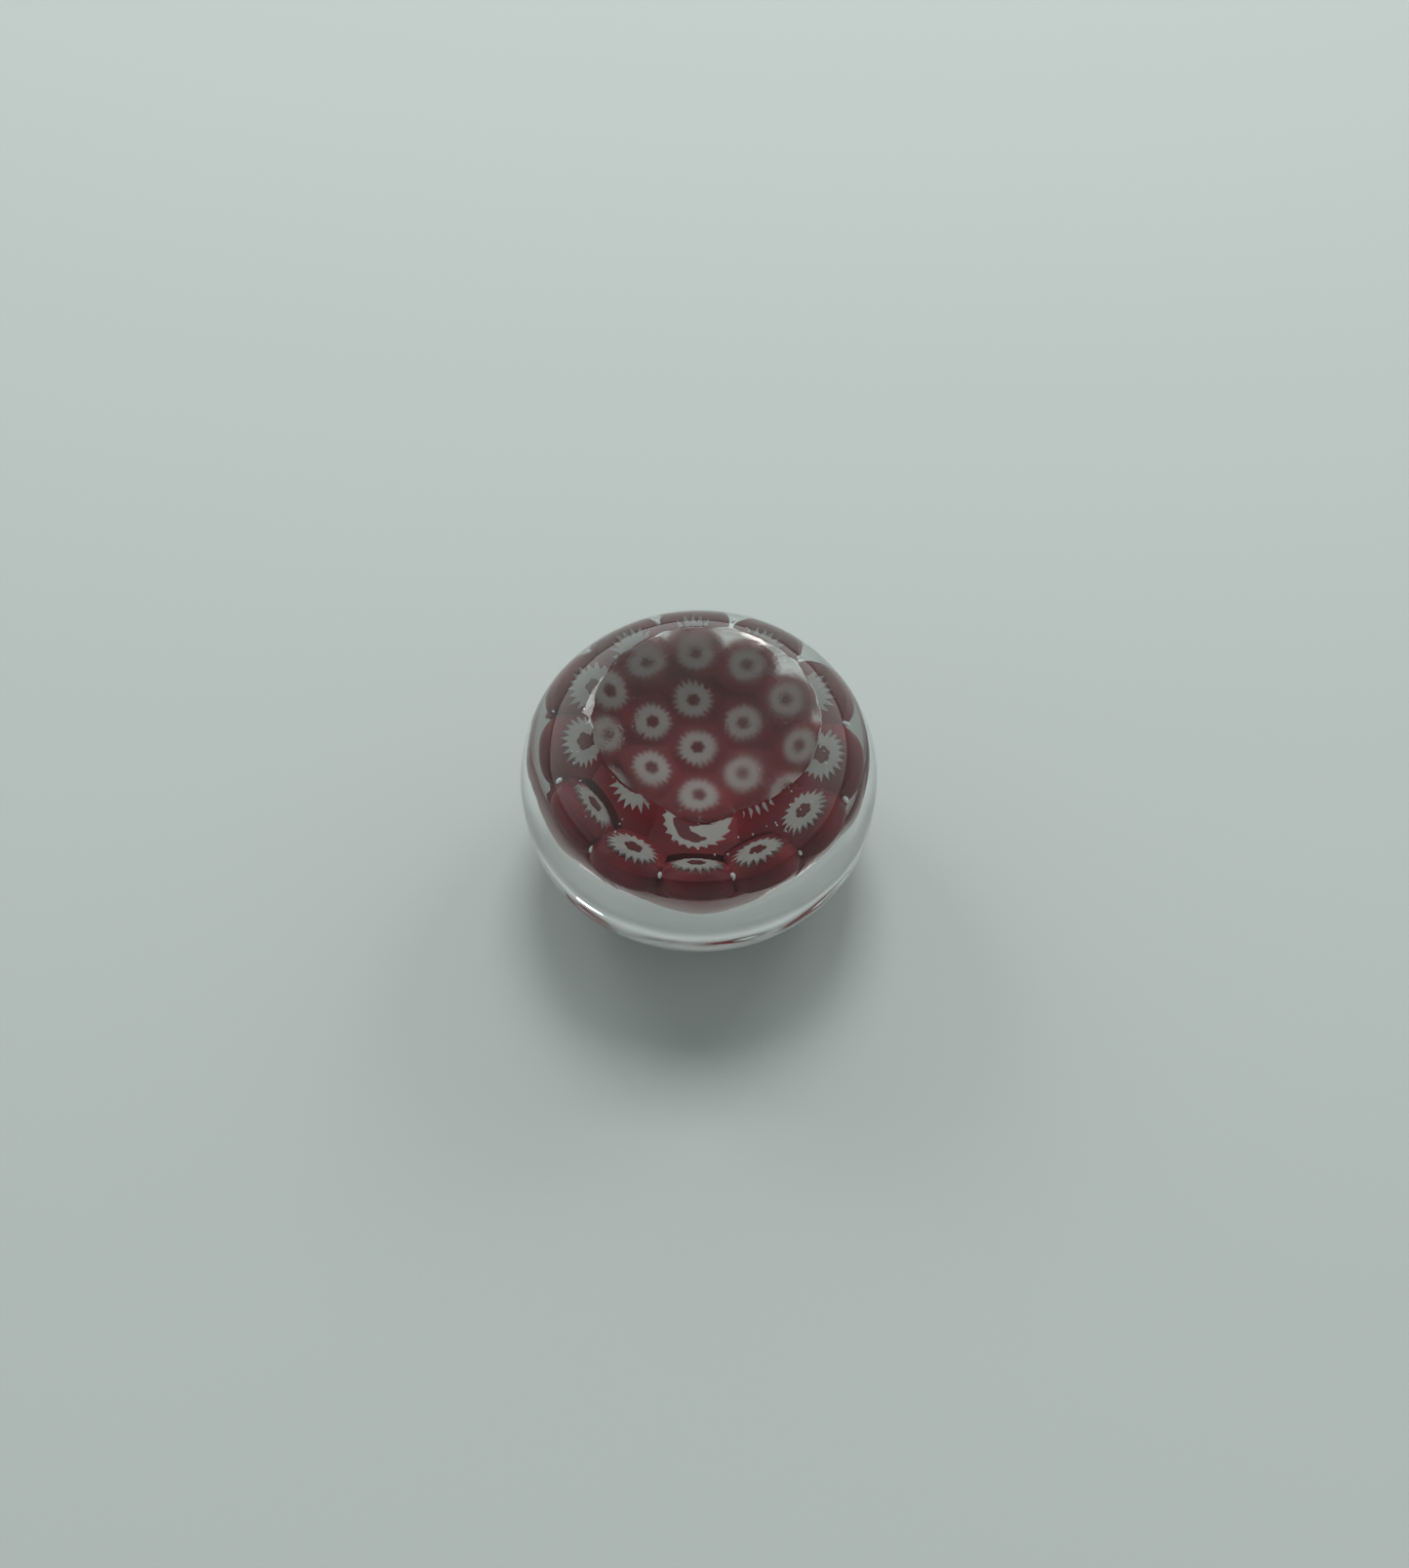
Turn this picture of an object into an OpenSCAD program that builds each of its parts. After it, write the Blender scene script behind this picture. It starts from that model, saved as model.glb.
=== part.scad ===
// Millefiori paperweight: a set of glass cane slices between two gathers of clear glass.
// It lies on its dome, with the ground base face up. The origin is the lowest point of
// the dome, on the weight's axis, and +Z points up through the ground face.

/* [Clear glass] */
// Height of the ground face above the resting point, on the axis
height = 48; // [42:0.5:60]
// Diameter of the ground face
ground_d = 42; // [34:0.5:52]
// Slant of the hand-ground face towards the front, in degrees
ground_slant = 3; // [0:0.5:5]
// Slant of the hand-ground face towards the right, in degrees
ground_slant_side = 1.7; // [0:0.1:5]
// Depth of the dome below the widest part of the weight
dome_depth = 21.6; // [17:0.1:26]
// Radius of the dome's round side, where it turns up into the wall
dome_corner_r = 15; // [10:0.5:16.5]
// Depth of the small flat that wear has left on the resting point
crown_wear = 0.1; // [0:0.05:0.3]
// Height of the nearly straight band at the widest part
wall_h = 4.4; // [1:0.1:8]
// Clear glass between the widest reach of the canes and the outside
side_cover = 5.4; // [2:0.1:10]
// Clear glass between the centre slice and the resting point
dome_cover = 16; // [12:0.5:22]
// Radius of the ball gather that picked up the slices
gather_r = 32; // [27:0.5:40]

/* [Cane slices] */
// Diameter of a slice at the face that meets the gather
cane_d = 9.3; // [7.5:0.1:11]
// Length of the centre slice and of the inner ring's slices
inner_length = 4; // [2.5:0.1:6]
// Length of the outer ring's slices
outer_length = 5.2; // [4:0.1:9]
// Film of clear glass between neighbouring slices
film = 0.3; // [0.2:0.05:1]
// Bevel round the far edge of a slice
edge_bevel = 0.8; // [0.3:0.1:1.2]
// Lean of the whole set towards the back, in degrees
set_lean = 6; // [0:0.5:8]
// Lean of the whole set towards the left, in degrees
set_lean_side = 1; // [0:0.5:3]

/* [Star and core] */
// Number of teeth on a star
star_teeth = 19; // [12:1:24]
// Diameter over the tips of the teeth
star_d = 8.6; // [6:0.1:9.2]
// Depth of a tooth from tip to root
tooth_depth = 1.1; // [0.4:0.1:1.5]
// Diameter over the lobes of the core
core_d = 3; // [2:0.1:4]
// Number of lobes on the core
core_lobes = 6; // [4:1:8]

/* [Hidden] */
$fn = 96;
slack = 1;            // how far a cutting shape runs past what it cuts
lip = 0.1;            // least flat casing left between a star's tips and the bevel
seam_turn = 37;       // turns the closing line of a slice's round side off its axes
inner_count = 6;      // slices in the inner ring
outer_count = 12;     // slices in the outer ring
last_inner = 1 + inner_count;
last_outer = last_inner + outer_count;

// The slices were set by hand, so each sits a few degrees off its even place in the ring.
inner_start = 90;
inner_drift = [5, 0, 0, 0, -4, 0];
outer_start = 91;
outer_drift = [0, -1, -2.5, -4, 0.5, -0.5, -0.5, -2, -3.5, -5, -3.5, -1];
outer_settle = [0, 0, 0, -2, -1.6, 0, 0, 0, 0, 0, 0, 0];
outer_gap_angle = 28.5;   // narrowest turn between two outer slices

// Rings: the outer ring lies where its two closest slices still keep a film between them,
// and the inner ring lies half way to it.
half_pitch = asin((cane_d + film) / 2 / gather_r);
outer_polar = asin(sin(half_pitch) / sin(outer_gap_angle / 2));
inner_polar = outer_polar / 2;
taper = atan(cane_d / 2 / gather_r);

// Radii of the outside are whole hundredths, so that arcs meet the wall band exactly.
function neat(size) = round(size * 100) / 100;

// The ball gather's centre, and how far the leaning set reaches from the axis.
gather_z = dome_cover + inner_length + gather_r;
lean = norm([set_lean, set_lean_side]);
body_r = neat((gather_r + outer_length) / cos(taper) * sin(outer_polar + taper + lean)
    + side_cover);

// Arcs of the outside: the dome's cap runs tangent into its round side, and the shoulder
// runs from the wall band to the rim of the ground face.
wall_top = dome_depth + wall_h;
corner_x = body_r - dome_corner_r;
cap_depth = dome_depth + crown_wear;
cap_r = (pow(corner_x, 2) + pow(cap_depth, 2) - pow(dome_corner_r, 2))
    / (2 * (cap_depth - dome_corner_r));
cap_z = cap_r - crown_wear;
rim_in = body_r - ground_d / 2;
shoulder_r = neat((pow(rim_in, 2) + pow(height - wall_top, 2)) / (2 * rim_in));
profile_top = wall_top + shoulder_r;

cane_numbers = [for (n = [1 : last_outer]) n];

clear_colour = [0.80, 0.88, 0.84, 0.35];
casing_colour = [0.36, 0.09, 0.10];
star_colour = [0.66, 0.63, 0.61];
core_colour = [0.42, 0.12, 0.13];

// Half of the round outside, from the resting point up to the wall band: the cap, kept to
// the wedge that its arc spans and worn flat at the bottom, and the round side that it
// runs into.
module dome_half() {
    wedge_reach = (cap_z + slack) / (cap_z - dome_depth);
    intersection() {
        square([2 * body_r, dome_depth]);
        union() {
            intersection() {
                translate([0, cap_z]) circle(cap_r);
                polygon([[0, -slack], [0, cap_z], [corner_x * wedge_reach, -slack]]);
            }
            translate([corner_x, dome_depth]) circle(dome_corner_r);
        }
    }
}

// Half of the round outside, from the wall band up past the ground face.
module shoulder_half() {
    translate([0, dome_depth]) square([body_r, wall_h]);
    intersection() {
        translate([0, wall_top]) square(2 * profile_top);
        union() {
            translate([body_r - shoulder_r, wall_top]) circle(shoulder_r);
            translate([-profile_top, wall_top])
                square([profile_top + body_r - shoulder_r, shoulder_r]);
        }
    }
}

module body_half() {
    dome_half();
    shoulder_half();
}

module gather_half() {
    translate([0, gather_z]) circle(gather_r);
}

// Everything above the hand-ground face.
module above_ground_face() {
    translate([0, 0, height])
        rotate([ground_slant, ground_slant_side, 0])
            translate([-body_r, -body_r, 0])
                cube([2 * body_r, 2 * body_r, profile_top]);
}

// Angle of slice n from the middle of the set, and its turn around the set.
function polar(n) =
    n == 1 ? 0 : n <= last_inner ? inner_polar : outer_polar + outer_settle[n - last_inner - 1];
function turn(n) =
    n == 1 ? 0
    : n <= last_inner
        ? inner_start + 360 / inner_count * (n - 2) + inner_drift[n - 2]
        : outer_start + 360 / outer_count * (n - last_inner - 1) + outer_drift[n - last_inner - 1];
function slice_length(n) = n <= last_inner ? inner_length : outer_length;

// Moves a slice from the gather's centre to its place. Local +Z runs out along the slice,
// and the slice's face lies on the gather, gather_r from the centre.
module at_slice(n) {
    translate([0, 0, gather_z])
        rotate([set_lean, set_lean_side, 0])
            rotate([0, 0, turn(n)])
                rotate([0, 180 - polar(n), 0])
                    children();
}

// Outer shape of a slice, from inside the gather out to its bevelled far edge. It widens
// away from the gather, as its sides point at the gather's centre.
module slice_solid(length) {
    near = gather_r - slack;
    far = gather_r + length;
    far_r = far * tan(taper);
    bevel = min(edge_bevel, far_r - star_d / 2 - lip);
    rotate([0, 0, seam_turn])
        rotate_extrude()
            polygon([
                [0, near],
                [near * tan(taper), near],
                [(far - bevel) * tan(taper), far - bevel],
                [far_r - bevel, far],
                [0, far]
            ]);
}

// Outline of a star, with sharp teeth.
module star_outline() {
    polygon([
        for (k = [0 : 2 * star_teeth - 1])
            let (r = star_d / 2 - (k % 2) * tooth_depth, a = 180 / star_teeth * k)
                [r * cos(a), r * sin(a)]
    ]);
}

// Outline of a core: round lobes about a round middle.
module core_outline() {
    lobe_r = core_d / 5;
    circle(core_d / 2 - lobe_r);
    for (k = [0 : core_lobes - 1])
        rotate(360 / core_lobes * k) translate([core_d / 2 - lobe_r, 0]) circle(lobe_r);
}

// A rod of the outline's section, from inside the gather to a height past its face.
module rod(top) {
    translate([0, 0, gather_r - slack])
        linear_extrude(top - gather_r + slack) children();
}

module clear_dome() {
    color(clear_colour)
        difference() {
            rotate_extrude()
                difference() {
                    body_half();
                    gather_half();
                }
            above_ground_face();
            for (n = cane_numbers)
                at_slice(n) slice_solid(slice_length(n));
        }
}

module base_gather() {
    color(clear_colour)
        difference() {
            rotate_extrude()
                intersection() {
                    body_half();
                    gather_half();
                }
            above_ground_face();
        }
}

module casing(n) {
    color(casing_colour)
        at_slice(n)
            difference() {
                slice_solid(slice_length(n));
                sphere(gather_r);
                rod(gather_r + slice_length(n) + slack) star_outline();
            }
}

module star(n) {
    color(star_colour)
        at_slice(n)
            difference() {
                rod(gather_r + slice_length(n)) star_outline();
                sphere(gather_r);
                rod(gather_r + slice_length(n) + slack) core_outline();
            }
}

module core(n) {
    color(core_colour)
        at_slice(n)
            difference() {
                rod(gather_r + slice_length(n)) core_outline();
                sphere(gather_r);
            }
}

clear_dome();
base_gather();
for (n = cane_numbers) {
    casing(n);
    star(n);
    core(n);
}
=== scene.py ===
import bpy
import math
import random
from mathutils import Matrix, Vector


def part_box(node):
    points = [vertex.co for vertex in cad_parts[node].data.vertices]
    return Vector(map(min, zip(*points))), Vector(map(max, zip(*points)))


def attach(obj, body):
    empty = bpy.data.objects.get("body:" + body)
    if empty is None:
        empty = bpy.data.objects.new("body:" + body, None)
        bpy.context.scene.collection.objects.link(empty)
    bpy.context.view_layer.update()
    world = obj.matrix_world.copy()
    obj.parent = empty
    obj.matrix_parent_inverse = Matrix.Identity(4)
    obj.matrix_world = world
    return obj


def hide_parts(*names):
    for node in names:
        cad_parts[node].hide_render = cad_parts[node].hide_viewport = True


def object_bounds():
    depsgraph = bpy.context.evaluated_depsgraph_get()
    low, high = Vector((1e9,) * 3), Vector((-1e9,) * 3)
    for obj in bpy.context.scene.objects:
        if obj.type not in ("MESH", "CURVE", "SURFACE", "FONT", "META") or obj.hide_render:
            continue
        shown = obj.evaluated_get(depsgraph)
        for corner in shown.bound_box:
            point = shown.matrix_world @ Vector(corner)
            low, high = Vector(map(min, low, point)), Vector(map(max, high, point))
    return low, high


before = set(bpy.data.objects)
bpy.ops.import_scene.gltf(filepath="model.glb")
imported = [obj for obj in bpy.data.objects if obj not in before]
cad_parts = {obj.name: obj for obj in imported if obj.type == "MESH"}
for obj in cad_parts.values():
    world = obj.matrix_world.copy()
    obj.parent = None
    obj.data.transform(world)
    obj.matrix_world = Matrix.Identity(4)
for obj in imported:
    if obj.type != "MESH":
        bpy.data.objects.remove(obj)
cadBox = [list(corner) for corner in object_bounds()]
print("stage: frame loaded")

mm = 0.001
sameWay = 0.99999  # least cosine between two normals that count as one direction


def deselectAll():
    if bpy.context.object and bpy.context.object.mode != "OBJECT":
        bpy.ops.object.mode_set(mode="OBJECT")
    bpy.ops.object.select_all(action="DESELECT")


def pick(piece):
    deselectAll()
    piece.select_set(True)
    bpy.context.view_layer.objects.active = piece


# Selects vertices in edit mode by a test on their place.
def selectVertices(piece, wanted):
    bpy.ops.mesh.select_mode(type="VERT")
    bpy.ops.mesh.select_all(action="DESELECT")
    bpy.ops.object.mode_set(mode="OBJECT")
    for vertex in piece.data.vertices:
        vertex.select = bool(wanted(vertex.co))
    bpy.ops.object.mode_set(mode="EDIT")


# Draws half an outline by pulling one vertex from point to point, then spins it about Z.
def turnPiece(name, outline, steps):
    deselectAll()
    bpy.ops.mesh.primitive_plane_add(size=1 * mm, location=(outline[0][0], 0, outline[0][1]))
    piece = bpy.context.object
    piece.name = name
    bpy.ops.object.transform_apply(location=True, rotation=True, scale=True)
    bpy.ops.object.mode_set(mode="EDIT")
    bpy.ops.mesh.select_mode(type="VERT")
    bpy.ops.mesh.select_all(action="SELECT")
    bpy.ops.mesh.merge(type="CENTER")
    for (r0, z0), (r1, z1) in zip(outline, outline[1:]):
        bpy.ops.mesh.extrude_region_move(TRANSFORM_OT_translate={"value": (r1 - r0, 0, z1 - z0)})
    bpy.ops.mesh.select_all(action="SELECT")
    bpy.ops.mesh.spin(steps=steps, angle=math.tau, center=(0, 0, 0), axis=(0, 0, 1))
    bpy.ops.mesh.select_all(action="SELECT")
    bpy.ops.mesh.remove_doubles(threshold=0.002 * mm)
    bpy.ops.mesh.select_all(action="SELECT")
    bpy.ops.mesh.normals_make_consistent(inside=False)
    bpy.ops.object.mode_set(mode="OBJECT")
    return piece


def applyModifiers(piece):
    pick(piece)
    for modifier in list(piece.modifiers):
        bpy.ops.object.modifier_apply(modifier=modifier.name)


# Node helpers.
def newMaterial(name):
    material = bpy.data.materials.new(name)
    material.use_nodes = True
    nodes = material.node_tree.nodes
    return material, nodes, material.node_tree.links, nodes["Principled BSDF"]


def addNode(nodes, kind, **values):
    node = nodes.new(kind)
    for key, value in values.items():
        if hasattr(node, key):
            setattr(node, key, value)
        else:
            node.inputs[key].default_value = value
    return node


def addRange(nodes, fromRange, toRange, **values):
    node = addNode(nodes, "ShaderNodeMapRange", **values)
    for name, value in zip(("From Min", "From Max", "To Min", "To Max"), (*fromRange, *toRange)):
        node.inputs[name].default_value = value
    return node


# A colour ramp from two stops, each a position and a colour.
def addRamp(nodes, *stops):
    node = addNode(nodes, "ShaderNodeValToRGB")
    for element, (position, colour) in zip(node.color_ramp.elements, stops):
        element.position, element.color = position, (*colour, 1)
    return node


# ---- clear glass body
glassBody = {
    "wideAt": 21.6 * mm,
    "wallHeight": 4.4 * mm,
    "cornerRadius": 15 * mm,
    "groundHeight": 48 * mm,
    "groundRadius": 21 * mm,
    "slant": 3,
    "slantSide": 1.7,
    "steps": 144,
    "slump": 0.3 * mm,
    "slumpSize": 18 * mm,
    "rimBulge": (0.5 * mm, -21.5 * mm, 46.6 * mm),
    "bulgeCore": 1.6 * mm,
    "bulgeReach": 7 * mm,
    "bulgeBy": (0, -1.1 * mm, 0.6 * mm),
    "rimBevel": 0.22 * mm,
}


def arcPoints(centre, radius, fromAngle, toAngle, count):
    points = []
    for i in range(count + 1):
        angle = math.radians(fromAngle + (toAngle - fromAngle) * i / count)
        points.append((centre[0] + radius * math.cos(angle), centre[1] + radius * math.sin(angle)))
    return points


def bodyOutline(shape, widest):
    cornerX = widest - shape["cornerRadius"]
    capRadius = (cornerX ** 2 + shape["wideAt"] ** 2 - shape["cornerRadius"] ** 2) / (
        2 * (shape["wideAt"] - shape["cornerRadius"]))
    capEnd = math.degrees(math.atan2(shape["wideAt"] - capRadius, cornerX))
    wallTop = shape["wideAt"] + shape["wallHeight"]
    rimIn = widest - shape["groundRadius"]
    shoulder = (rimIn ** 2 + (shape["groundHeight"] - wallTop) ** 2) / (2 * rimIn)
    outline = arcPoints((0, capRadius), capRadius, -90, capEnd, 24)
    outline += arcPoints((cornerX, shape["wideAt"]), shape["cornerRadius"], capEnd, 0, 22)[1:]
    outline += [(widest, shape["wideAt"] + shape["wallHeight"] * i / 3) for i in (1, 2)]
    outline += arcPoints((widest - shoulder, wallTop), shoulder, 0, 80, 44)
    return outline


def groundPlane(shape):
    toFront = Matrix.Rotation(math.radians(shape["slant"]), 3, "X")
    toSide = Matrix.Rotation(math.radians(shape["slantSide"]), 3, "Y")
    return Vector((0, 0, shape["groundHeight"])), toSide @ toFront @ Vector((0, 0, 1))


def makeGlassBody(shape):
    body = turnPiece("glassBody", bodyOutline(shape, cadBox[1][0]), shape["steps"])
    slump = bpy.data.textures.new("slump", "CLOUDS")
    slump.noise_scale = shape["slumpSize"]
    waves = body.modifiers.new("waves", "DISPLACE")
    waves.texture = slump
    waves.texture_coords = "LOCAL"
    waves.strength = shape["slump"]
    applyModifiers(body)
    lowest = min(vertex.co.z for vertex in body.data.vertices)
    body.data.transform(Matrix.Translation((0, 0, -lowest)))
    pick(body)
    bpy.ops.object.mode_set(mode="EDIT")
    bulgeAt = Vector(shape["rimBulge"])
    selectVertices(body, lambda place: (place - bulgeAt).length < shape["bulgeCore"])
    bpy.ops.transform.translate(value=shape["bulgeBy"], use_proportional_edit=True,
                                proportional_edit_falloff="SMOOTH", proportional_size=shape["bulgeReach"])
    bpy.ops.mesh.select_all(action="SELECT")
    point, normal = groundPlane(shape)
    bpy.ops.mesh.bisect(plane_co=point, plane_no=normal, clear_outer=True, use_fill=True)
    bpy.ops.object.mode_set(mode="OBJECT")
    pick(body)
    bpy.ops.object.mode_set(mode="EDIT")
    bpy.ops.mesh.select_mode(type="FACE")
    bpy.ops.mesh.select_all(action="DESELECT")
    bpy.ops.object.mode_set(mode="OBJECT")
    for face in body.data.polygons:
        face.select = face.normal.dot(normal) > sameWay and len(face.vertices) > 8
    bpy.ops.object.mode_set(mode="EDIT")
    bpy.ops.mesh.region_to_loop()
    bpy.ops.mesh.bevel(offset=shape["rimBevel"], segments=2, profile=0.6)
    bpy.ops.object.mode_set(mode="OBJECT")
    bpy.ops.object.shade_smooth_by_angle(angle=math.radians(16))
    return body


body = makeGlassBody(glassBody)


def makeClearGlass():
    material, nodes, links, shader = newMaterial("clearGlass")
    place = addNode(nodes, "ShaderNodeTexCoord")
    cords = addNode(nodes, "ShaderNodeTexNoise", Scale=70, Detail=1, Distortion=1.5)
    ripple = addNode(nodes, "ShaderNodeBump", Strength=0.25, Distance=0.05 * mm)
    links.new(place.outputs["Object"], cords.inputs["Vector"])
    links.new(cords.outputs["Fac"], ripple.inputs["Height"])
    links.new(ripple.outputs["Normal"], shader.inputs["Normal"])
    shader.inputs["Base Color"].default_value = (0.93, 0.985, 0.96, 1)
    shader.inputs["Transmission Weight"].default_value = 1
    shader.inputs["IOR"].default_value = 1.5
    shader.inputs["Roughness"].default_value = 0.0
    return material


groundFinish = {
    "clearest": (-4 * mm, -6 * mm, 48 * mm),
    "roughness": (0.14, 0.26),
    "spread": (5 * mm, 22 * mm),
    "patches": (-0.04, 0.07),
    "grain": (0.04, 0.8),
    "haze": 0.99,
}


def makeGroundGlass():
    material, nodes, links, shader = newMaterial("groundGlass")
    shader.inputs["Base Color"].default_value = (1, 0.94, 0.92, 1)
    shader.inputs["Transmission Weight"].default_value = groundFinish["haze"]
    shader.inputs["IOR"].default_value = 1.5
    place = addNode(nodes, "ShaderNodeTexCoord")
    reach = addNode(nodes, "ShaderNodeVectorMath", operation="DISTANCE")
    reach.inputs[1].default_value = groundFinish["clearest"]
    rise = addRange(nodes, groundFinish["spread"], groundFinish["roughness"])
    patches = addNode(nodes, "ShaderNodeTexNoise", Scale=110, Detail=3)
    vary = addRange(nodes, (0.35, 0.7), groundFinish["patches"])
    total = addNode(nodes, "ShaderNodeMath", operation="ADD")
    peel = addNode(nodes, "ShaderNodeTexNoise", Scale=1300, Detail=1)
    areas = addNode(nodes, "ShaderNodeTexNoise", Scale=62, Detail=2)
    where = addRange(nodes, (0.52, 0.62), groundFinish["grain"])
    bump = addNode(nodes, "ShaderNodeBump", Distance=0.09 * mm)
    for target in (reach, patches, peel, areas):
        links.new(place.outputs["Object"], target.inputs[0])
    links.new(reach.outputs["Value"], rise.inputs["Value"])
    links.new(patches.outputs["Fac"], vary.inputs["Value"])
    links.new(rise.outputs["Result"], total.inputs[0])
    links.new(vary.outputs["Result"], total.inputs[1])
    links.new(total.outputs["Value"], shader.inputs["Roughness"])
    links.new(areas.outputs["Fac"], where.inputs["Value"])
    links.new(where.outputs["Result"], bump.inputs["Strength"])
    links.new(peel.outputs["Fac"], bump.inputs["Height"])
    links.new(bump.outputs["Normal"], shader.inputs["Normal"])
    return material


body.data.materials.clear()
body.data.materials.append(makeClearGlass())
body.data.materials.append(makeGroundGlass())
groundNormal = groundPlane(glassBody)[1]
for face in body.data.polygons:
    face.material_index = 1 if face.normal.dot(groundNormal) > sameWay else 0

# ---- cane slices
caneSlices = {
    "gatherRadius": 32 * mm,
    "faceRadius": 4.6 * mm,
    "innerLength": 4 * mm,
    "outerLength": 5 * mm,
    "squeezedRadius": 8 * mm,
    "shoulder": ((0.45, 0.3 * mm), (0.75, 0.7 * mm), (1, 1.3 * mm)),
    "tailRadius": 7.8 * mm,
    "freeSide": (0.69, 0.76),  # how much of the squeezed radius the unpressed side keeps
    "starRadius": 4.35 * mm,
    "starLift": 0.05 * mm,
    "starRings": (0.86, 0.82, 0.78, 0.7, 0.5),
    "toothDepth": 1.3 * mm,
    "teeth": 19,
    "coreRadius": 1.45 * mm,
    "seed": 7,
    "pressedWithin": 0.45,
    "faceFall": 0.3 * mm,
    "extraLean": {8: -14, 9: -6, 11: 5, 12: 17, 14: 9, 15: 2, 18: -12, 19: -14},
    "slide": {11: 1.4 * mm, 12: 0.8 * mm},
}
gatherCentre = Vector((0, 0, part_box("base_gather")[0][2] + caneSlices["gatherRadius"]))


def outwardWay(number):
    low, high = (Vector(corner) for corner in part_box(f"core_{number}"))
    return ((low + high) / 2 - gatherCentre).normalized()


outwardWays = {number: outwardWay(number) for number in range(1, 20)}


# Local +Z runs out along the slice and local +X away from the middle of the set.
def sliceMatrix(number):
    outward, middle = outwardWays[number], outwardWays[1]
    aside = outward - middle if number > 1 else Vector((1, 0, 0))
    along = (aside - outward * aside.dot(outward)).normalized()
    across = outward.cross(along)
    turn = Matrix((along, across, outward)).transposed().to_4x4()
    lean = Matrix.Rotation(math.radians(caneSlices["extraLean"].get(number, 0)), 4, "Y")
    slide = Matrix.Translation((-caneSlices["slide"].get(number, 0), 0, 0))
    return Matrix.Translation(gatherCentre + outward * caneSlices["gatherRadius"]) @ turn @ slide @ lean


# How far the fire-rounded face falls away from its middle.
def faceDrop(radius):
    return caneSlices["faceFall"] * (radius / caneSlices["starRadius"]) ** 4


def casingOutline(length):
    face, full = caneSlices["faceRadius"], caneSlices["squeezedRadius"]
    outline = [(face * k / 8, faceDrop(face * k / 8)) for k in range(9)]
    start = outline[-1][1]
    for share, drop in caneSlices["shoulder"]:
        outline.append((face * (1 - share) + full * share, start + drop))
    tailStart = 0.5 * length
    tail = caneSlices["tailRadius"]
    outline += [(full * 0.97, tailStart)]
    for k in range(1, 9):
        angle = math.radians(90 * k / 9)
        outline.append((tail * math.cos(angle) ** 0.45, tailStart + (length - tailStart) * math.sin(angle)))
    outline.append((0, length))
    return outline


def makeCasing(length, freeSide):
    casing = turnPiece("casingPattern", casingOutline(length), 56)
    bpy.ops.object.mode_set(mode="EDIT")
    selectVertices(casing, lambda place: place.x > 0.01 * mm)
    bpy.ops.transform.resize(value=(freeSide[0], freeSide[1], 1), center_override=(0, 0, 0))
    bpy.ops.object.mode_set(mode="OBJECT")
    return casing


# Cuts a placed casing where its neighbours press against it.
def squeezeCasing(casing, number):
    pick(casing)
    bpy.ops.object.mode_set(mode="EDIT")
    for other, way in outwardWays.items():
        apart = way - outwardWays[number]
        if other != number and apart.length < caneSlices["pressedWithin"]:
            bpy.ops.mesh.select_all(action="SELECT")
            bpy.ops.mesh.bisect(plane_co=gatherCentre, plane_no=apart.normalized(),
                                clear_outer=True, use_fill=True)
    bpy.ops.object.mode_set(mode="OBJECT")
    bpy.ops.object.shade_smooth_by_angle(angle=math.radians(40))


def makeStar(length, rng):
    teeth = caneSlices["teeth"] + rng.choice([-1, 0, 0, 1])
    tip = caneSlices["starRadius"]
    deselectAll()
    bpy.ops.mesh.primitive_circle_add(vertices=2 * teeth, radius=tip, location=(0, 0, 0))
    star = bpy.context.object
    pick(star)
    for index, vertex in enumerate(star.data.vertices):
        reach = rng.uniform(0.93, 1.03) * tip
        if index % 2 == 0:
            reach = tip - caneSlices["toothDepth"] * rng.uniform(0.85, 1.15)
        vertex.co = vertex.co.normalized() * reach
    bpy.ops.object.mode_set(mode="EDIT")
    bpy.ops.mesh.select_all(action="SELECT")
    for share in caneSlices["starRings"]:
        bpy.ops.mesh.extrude_region_move()
        bpy.ops.transform.resize(value=(share, share, 1), center_override=(0, 0, 0))
    bpy.ops.mesh.extrude_region_move()
    bpy.ops.mesh.merge(type="CENTER")
    bpy.ops.object.mode_set(mode="OBJECT")
    for vertex in star.data.vertices:
        vertex.co.z = faceDrop(math.hypot(vertex.co.x, vertex.co.y)) - caneSlices["starLift"]
    bpy.ops.object.mode_set(mode="EDIT")
    bpy.ops.mesh.select_mode(type="EDGE")
    bpy.ops.mesh.select_all(action="DESELECT")
    bpy.ops.mesh.select_non_manifold()
    bpy.ops.mesh.extrude_region_move()
    bpy.ops.transform.resize(value=(1, 1, 0), center_override=(0, 0, length - 1 * mm))
    bpy.ops.mesh.edge_face_add()
    bpy.ops.mesh.select_all(action="SELECT")
    bpy.ops.mesh.normals_make_consistent(inside=False)
    bpy.ops.object.mode_set(mode="OBJECT")
    return star


def makeCore(length, rng):
    deselectAll()
    bpy.ops.mesh.primitive_cylinder_add(vertices=48, radius=caneSlices["coreRadius"], depth=length - 1 * mm,
                                        location=(0, 0, (length - 1.3 * mm) / 2))
    core = bpy.context.object
    pick(core)
    bpy.ops.object.transform_apply(location=True, rotation=True, scale=True)
    lobes = rng.choice([5, 6, 6])
    for vertex in core.data.vertices:
        angle = math.atan2(vertex.co.y, vertex.co.x)
        wave = 0.74 + 0.26 * abs(math.cos(lobes * angle / 2)) ** 0.7
        vertex.co.x *= wave
        vertex.co.y *= wave
    return core


def giveFaceMap(piece):
    layer = piece.data.uv_layers[0] if piece.data.uv_layers else piece.data.uv_layers.new(name="faceMap")
    for loop in piece.data.loops:
        place = piece.data.vertices[loop.vertex_index].co
        layer.data[loop.index].uv = (0.5 + place.x / (12 * mm), 0.5 + place.y / (12 * mm))


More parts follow.
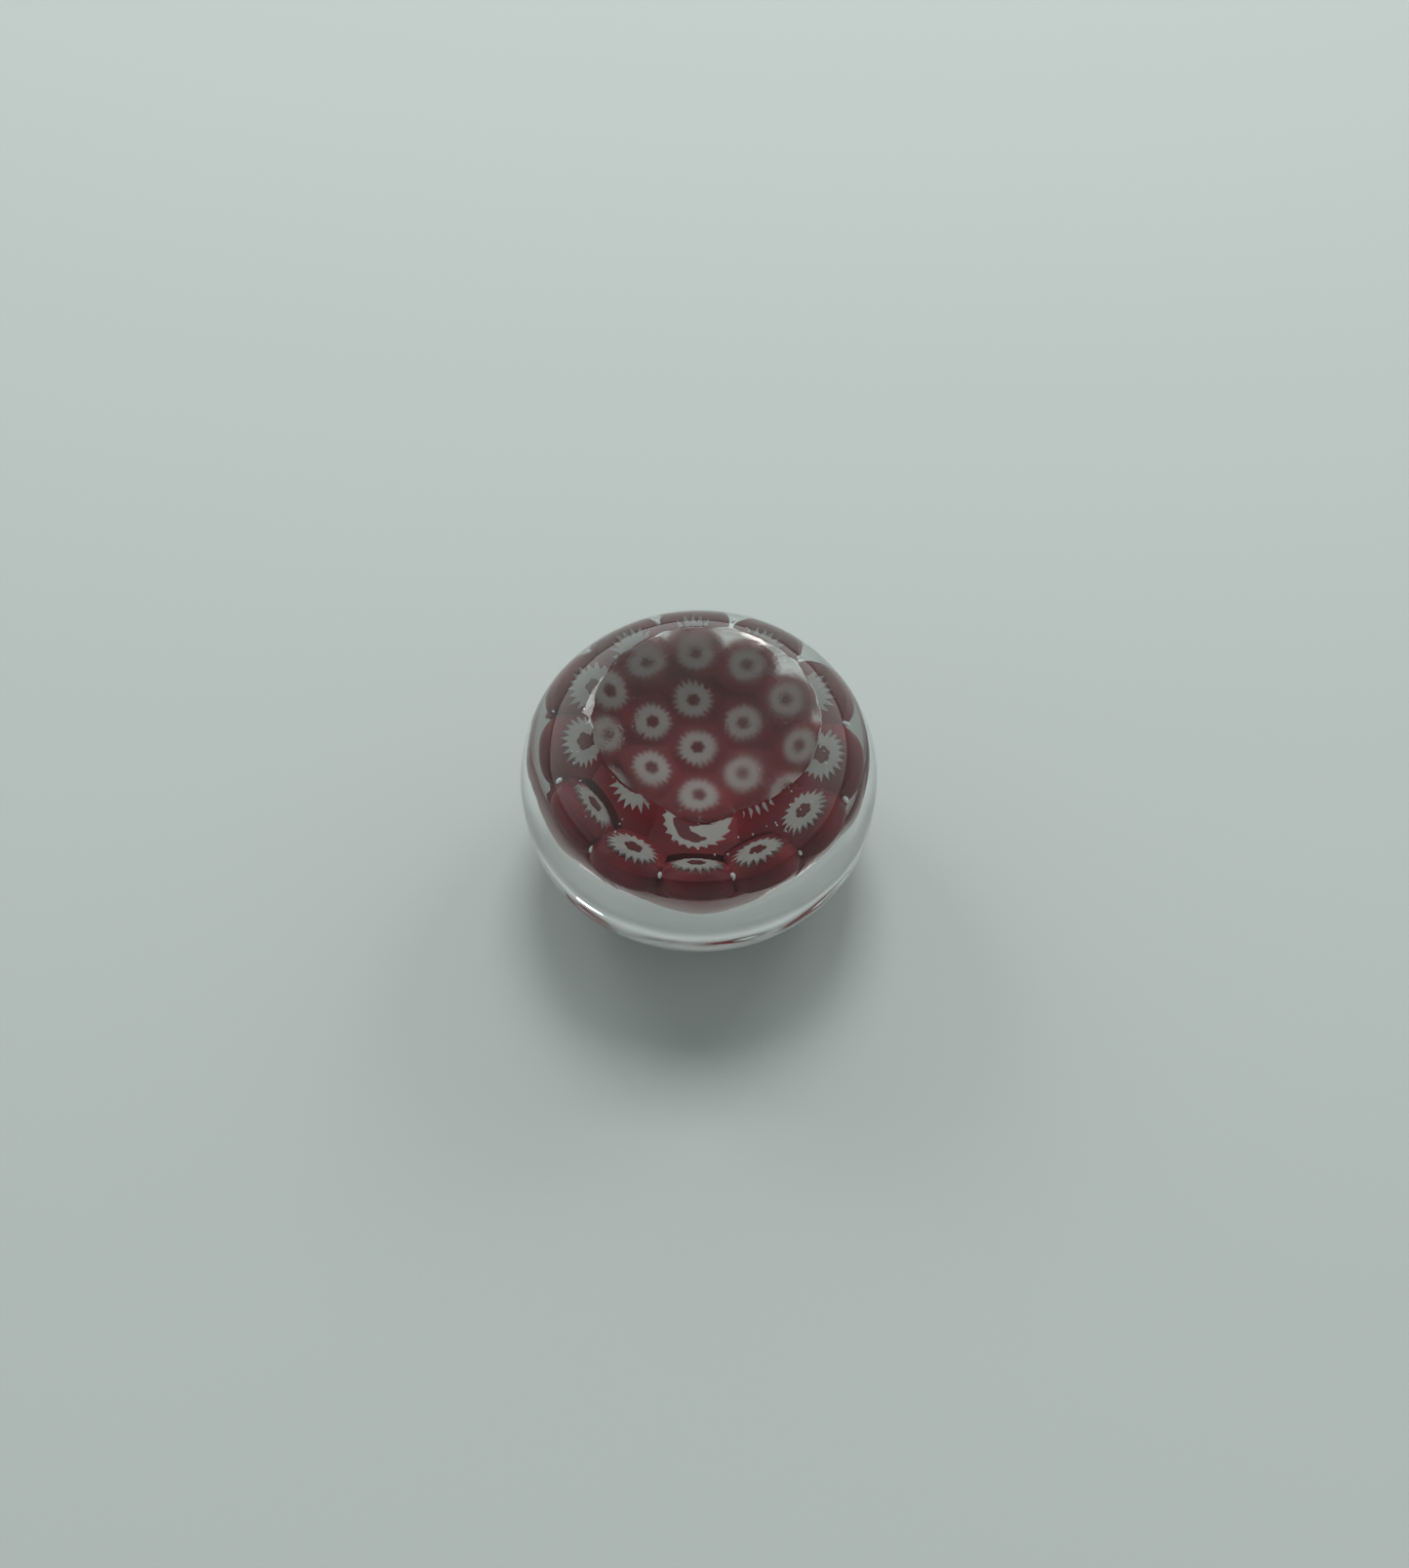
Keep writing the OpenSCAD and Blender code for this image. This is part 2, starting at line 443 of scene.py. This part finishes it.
# Distance from the slice's middle in millimetres and the way round it, from the face map.
def addFacePolar(nodes, links):
    faceMap = addNode(nodes, "ShaderNodeUVMap", uv_map="faceMap")
    centred = addNode(nodes, "ShaderNodeVectorMath", operation="SUBTRACT")
    centred.inputs[1].default_value = (0.5, 0.5, 0)
    length = addNode(nodes, "ShaderNodeVectorMath", operation="LENGTH")
    reach = addNode(nodes, "ShaderNodeMath", operation="MULTIPLY")
    reach.inputs[1].default_value = 12
    split = addNode(nodes, "ShaderNodeSeparateXYZ")
    angle = addNode(nodes, "ShaderNodeMath", operation="ARCTAN2")
    way = addNode(nodes, "ShaderNodeVectorMath", operation="NORMALIZE")
    links.new(faceMap.outputs["UV"], centred.inputs[0])
    links.new(centred.outputs["Vector"], length.inputs[0])
    links.new(length.outputs["Value"], reach.inputs[0])
    links.new(centred.outputs["Vector"], split.inputs["Vector"])
    links.new(split.outputs["Y"], angle.inputs[0])
    links.new(split.outputs["X"], angle.inputs[1])
    links.new(centred.outputs["Vector"], way.inputs[0])
    return reach.outputs["Value"], angle.outputs["Value"], way.outputs["Vector"]


def makeCasingGlass():
    material, nodes, links, shader = newMaterial("casingGlass")
    way = addFacePolar(nodes, links)[2]
    place = addNode(nodes, "ShaderNodeTexCoord")
    streaks = addNode(nodes, "ShaderNodeTexNoise", Scale=5, Detail=3)
    cloud = addNode(nodes, "ShaderNodeTexNoise", Scale=160, Detail=4)
    both = addNode(nodes, "ShaderNodeMath", operation="MULTIPLY_ADD")
    both.inputs[1].default_value = 0.5
    half = addNode(nodes, "ShaderNodeMath", operation="MULTIPLY")
    half.inputs[1].default_value = 0.5
    ramp = addRamp(nodes, (0.36, (0.12, 0.005, 0.009)), (0.64, (0.25, 0.014, 0.022)))
    links.new(way, streaks.inputs["Vector"])
    links.new(place.outputs["Object"], cloud.inputs["Vector"])
    links.new(cloud.outputs["Fac"], half.inputs[0])
    links.new(streaks.outputs["Fac"], both.inputs[0])
    links.new(half.outputs["Value"], both.inputs[2])
    links.new(both.outputs["Value"], ramp.inputs["Fac"])
    links.new(ramp.outputs["Color"], shader.inputs["Base Color"])
    shader.inputs["Roughness"].default_value = 0.4
    shader.inputs["Specular IOR Level"].default_value = 0.1
    return material


def makeStarGlass():
    material, nodes, links, shader = newMaterial("starGlass")
    reach, angle, way = addFacePolar(nodes, links)
    place = addNode(nodes, "ShaderNodeTexCoord")
    veins = addNode(nodes, "ShaderNodeTexNoise", Scale=11, Detail=4)
    cloud = addNode(nodes, "ShaderNodeTexNoise", Scale=900, Detail=2)
    tone = addRamp(nodes, (0.3, (0.17, 0.115, 0.11)), (0.55, (0.345, 0.315, 0.305)))
    waves = addNode(nodes, "ShaderNodeMath", operation="MULTIPLY")
    waves.inputs[1].default_value = 9
    scallop = addNode(nodes, "ShaderNodeMath", operation="COSINE")
    shake = addNode(nodes, "ShaderNodeMath", operation="MULTIPLY_ADD")
    shake.inputs[1].default_value = 0.9
    ringAt = addNode(nodes, "ShaderNodeMath", operation="MULTIPLY_ADD")
    ringAt.inputs[1].default_value = 0.17
    away = addNode(nodes, "ShaderNodeMath", operation="SUBTRACT")
    distance = addNode(nodes, "ShaderNodeMath", operation="ABSOLUTE")
    ring = addRange(nodes, (0.04, 0.24), (0.85, 0), interpolation_type="SMOOTHSTEP")
    mix = addNode(nodes, "ShaderNodeMix", data_type="RGBA")
    mix.inputs[7].default_value = (0.13, 0.03, 0.032, 1)
    links.new(way, veins.inputs["Vector"])
    links.new(place.outputs["Object"], cloud.inputs["Vector"])
    links.new(veins.outputs["Fac"], tone.inputs["Fac"])
    links.new(angle, waves.inputs[0])
    links.new(waves.outputs["Value"], scallop.inputs[0])
    links.new(cloud.outputs["Fac"], shake.inputs[0])
    shake.inputs[2].default_value = 1.75
    links.new(scallop.outputs["Value"], ringAt.inputs[0])
    links.new(shake.outputs["Value"], ringAt.inputs[2])
    links.new(reach, away.inputs[0])
    links.new(ringAt.outputs["Value"], away.inputs[1])
    links.new(away.outputs["Value"], distance.inputs[0])
    links.new(distance.outputs["Value"], ring.inputs["Value"])
    links.new(ring.outputs["Result"], mix.inputs[0])
    links.new(tone.outputs["Color"], mix.inputs[6])
    links.new(mix.outputs[2], shader.inputs["Base Color"])
    shader.inputs["Roughness"].default_value = 0.45
    shader.inputs["Specular IOR Level"].default_value = 0.1
    return material


def makeCoreGlass():
    material, nodes, links, shader = newMaterial("coreGlass")
    reach = addFacePolar(nodes, links)[0]
    ramp = addRamp(nodes, (0.15, (0.19, 0.05, 0.05)), (0.7, (0.1, 0.01, 0.013)))
    links.new(reach, ramp.inputs["Fac"])
    links.new(ramp.outputs["Color"], shader.inputs["Base Color"])
    shader.inputs["Roughness"].default_value = 0.4
    shader.inputs["Specular IOR Level"].default_value = 0.1
    return material


casingGlass, starGlass, coreGlass = makeCasingGlass(), makeStarGlass(), makeCoreGlass()
rng = random.Random(caneSlices["seed"])
patterns = {
    "inner": makeCasing(caneSlices["innerLength"], (1, 1)),
    "outer": makeCasing(caneSlices["outerLength"], caneSlices["freeSide"]),
}
for number in range(1, 20):
    kind = "inner" if number <= 7 else "outer"
    length = caneSlices[kind + "Length"]
    matrix = sliceMatrix(number)
    turned = matrix @ Matrix.Rotation(rng.uniform(0, math.tau), 4, "Z")
    casing = patterns[kind].copy()
    casing.data = patterns[kind].data.copy()
    bpy.context.collection.objects.link(casing)
    for piece, node, slotName, glass, place in (
        (casing, f"casing_{number}", "casing_glass", casingGlass, matrix),
        (makeStar(length, rng), f"star_{number}", "star_glass", starGlass, turned),
        (makeCore(length, rng), f"core_{number}", "core_glass", coreGlass, turned),
    ):
        piece.name = slotName.split("_")[0] + f"Slice{number}"
        giveFaceMap(piece)
        piece.data.transform(place)
        piece.data.materials.clear()
        piece.data.materials.append(glass)
        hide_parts(node)
        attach(piece, "root")
    squeezeCasing(casing, number)
for pattern in patterns.values():
    bpy.data.objects.remove(pattern)
print("stage: cane slices")

# ---- air bubbles caught in the notches between the slices
bubbles = {
    "notchSize": (0.3 * mm, 0.45 * mm),
    "notchReach": 34.5 * mm,
    "seedSize": (0.07 * mm, 0.14 * mm),
    "seedReach": (30.2 * mm, 31.6 * mm),
    "seedScatter": 0.1,
    "seeds": 60,
    "stretch": 1.35,
    "seed": 11,
}


def makeBubblePattern():
    deselectAll()
    bpy.ops.mesh.primitive_ico_sphere_add(subdivisions=3, radius=1, location=(0, 0, 0))
    bubble = bpy.context.object
    pick(bubble)
    bpy.ops.object.mode_set(mode="EDIT")
    bpy.ops.transform.resize(value=(1, 1, bubbles["stretch"]), center_override=(0, 0, 0))
    selectVertices(bubble, lambda place: place.z > 0.9)
    bpy.ops.transform.resize(value=(0.8, 0.8, 1.1), center_override=(0, 0, 0))
    bpy.ops.mesh.select_all(action="SELECT")
    bpy.ops.mesh.normals_make_consistent(inside=True)
    bpy.ops.object.mode_set(mode="OBJECT")
    bpy.ops.object.shade_smooth()
    return bubble


def makeBubbles():
    rng = random.Random(bubbles["seed"])
    pattern = makeBubblePattern()
    made = []
    middle = outwardWays[1]

    def addBubble(way, distance, size):
        bubble = pattern.copy()
        bubble.data = pattern.data.copy()
        bpy.context.collection.objects.link(bubble)
        turn = way.to_track_quat("Z", "Y").to_matrix().to_4x4()
        place = Matrix.Translation(gatherCentre + way * distance)
        bubble.data.transform(place @ turn @ Matrix.Scale(size, 4))
        made.append(bubble)

    for number in range(8, 20):
        other = 8 if number == 19 else number + 1
        notch = (outwardWays[number] + outwardWays[other]).normalized()
        outer = (notch - middle * 0.14).normalized()
        distance = bubbles["notchReach"] + rng.uniform(-1, 1) * mm
        addBubble(outer, distance, rng.uniform(*bubbles["notchSize"]))
    for seed in range(bubbles["seeds"]):
        way = outwardWays[rng.randint(8, 19)]
        around = Vector([rng.gauss(0, bubbles["seedScatter"]) for axis in range(3)])
        distance = rng.uniform(*bubbles["seedReach"])
        addBubble((way + around).normalized(), distance, rng.uniform(*bubbles["seedSize"]))
    bpy.data.objects.remove(pattern)
    deselectAll()
    for bubble in made:
        bubble.select_set(True)
    body.select_set(True)
    bpy.context.view_layer.objects.active = body
    bpy.ops.object.join()


makeBubbles()
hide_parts("clear_dome", "base_gather")
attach(body, "root")
print("stage: bubbles")

# ---- floor, light and camera
stageSettings = {
    "floorSize": 30.0,
    "floorColour": (0.405, 0.44, 0.428, 1),
    "cameraElevation": 55.2,
    "cameraDistance": 282.5 * mm,
    "lens": 36.12,
}
worldLight = {
    "front": 0.25,
    "back": 1.5,
    "low": (1.12, 1.22, 1.2),
    "high": (0.34, 0.365, 0.36),
    "overhead": (0.15, 0.162, 0.16),
}
softboxes = {
    "softboxLeft": {"place": (-0.75, 0.85, 0.85), "size": 0.45, "power": 3},
    "softboxRight": {"place": (0.75, 0.85, 0.85), "size": 0.45, "power": 3},
    "overhead": {"place": (0.05, 0.6, 1.1), "size": 0.45, "power": 8.5},
}


def makeFloor():
    deselectAll()
    bpy.ops.mesh.primitive_plane_add(size=stageSettings["floorSize"], location=(0, 0, 0))
    floor = bpy.context.object
    floor.name = "floor"
    material, nodes, links, shader = newMaterial("paleTable")
    shader.inputs["Base Color"].default_value = stageSettings["floorColour"]
    shader.inputs["Roughness"].default_value = 0.75
    shader.inputs["Specular IOR Level"].default_value = 0.2
    floor.data.materials.append(material)


def makeLight(name, place, size, power):
    light = bpy.data.lights.new(name, "AREA")
    light.size = size
    light.energy = power
    lamp = bpy.data.objects.new(name, light)
    bpy.context.collection.objects.link(lamp)
    lamp.location = place
    lamp.rotation_euler = (-Vector(place)).to_track_quat("-Z", "Y").to_euler()


def makeWorld():
    world = bpy.data.worlds.new("softRoom")
    bpy.context.scene.world = world
    world.use_nodes = True
    nodes, links = world.node_tree.nodes, world.node_tree.links
    background = nodes["Background"]
    place = addNode(nodes, "ShaderNodeTexCoord")
    split = addNode(nodes, "ShaderNodeSeparateXYZ")
    ramp = addRamp(nodes, (0, worldLight["low"]), (1, worldLight["overhead"]))
    ramp.color_ramp.elements.new(0.5).color = (*worldLight["low"], 1)
    ramp.color_ramp.elements.new(0.74).color = (*worldLight["high"], 1)
    back = addRange(nodes, (-0.7, 0.9), (worldLight["front"], worldLight["back"]))
    links.new(place.outputs["Generated"], split.inputs["Vector"])
    links.new(split.outputs["Z"], ramp.inputs["Fac"])
    links.new(split.outputs["Y"], back.inputs["Value"])
    links.new(ramp.outputs["Color"], background.inputs["Color"])
    links.new(back.outputs["Result"], background.inputs["Strength"])


def makeCamera():
    elevation = math.radians(stageSettings["cameraElevation"])
    middle = Vector((1.1 * mm, 0.5 * mm, glassBody["wideAt"] + 0.5 * mm))
    forward = Vector((0, math.cos(elevation), -math.sin(elevation)))
    camera = bpy.data.cameras.new("camera")
    camera.sensor_fit = "HORIZONTAL"
    camera.sensor_width = 36
    camera.lens = stageSettings["lens"]
    camera.clip_start = 0.01
    holder = bpy.data.objects.new("camera", camera)
    bpy.context.collection.objects.link(holder)
    holder.location = middle - forward * stageSettings["cameraDistance"]
    holder.rotation_euler = forward.to_track_quat("-Z", "Y").to_euler()
    bpy.context.scene.camera = holder


makeFloor()
makeWorld()
for name, settings in softboxes.items():
    makeLight(name, **settings)
# The overhead box lights the slices, but the ground face shows no reflection of it.
overhead = bpy.data.objects["overhead"]
overhead.visible_glossy = False
overhead.visible_transmission = False
makeCamera()
bpy.context.scene.view_settings.view_transform = "Standard"
bpy.context.scene.cycles.max_bounces = 20
bpy.context.scene.cycles.transmission_bounces = 20
print("stage: floor, light and camera")
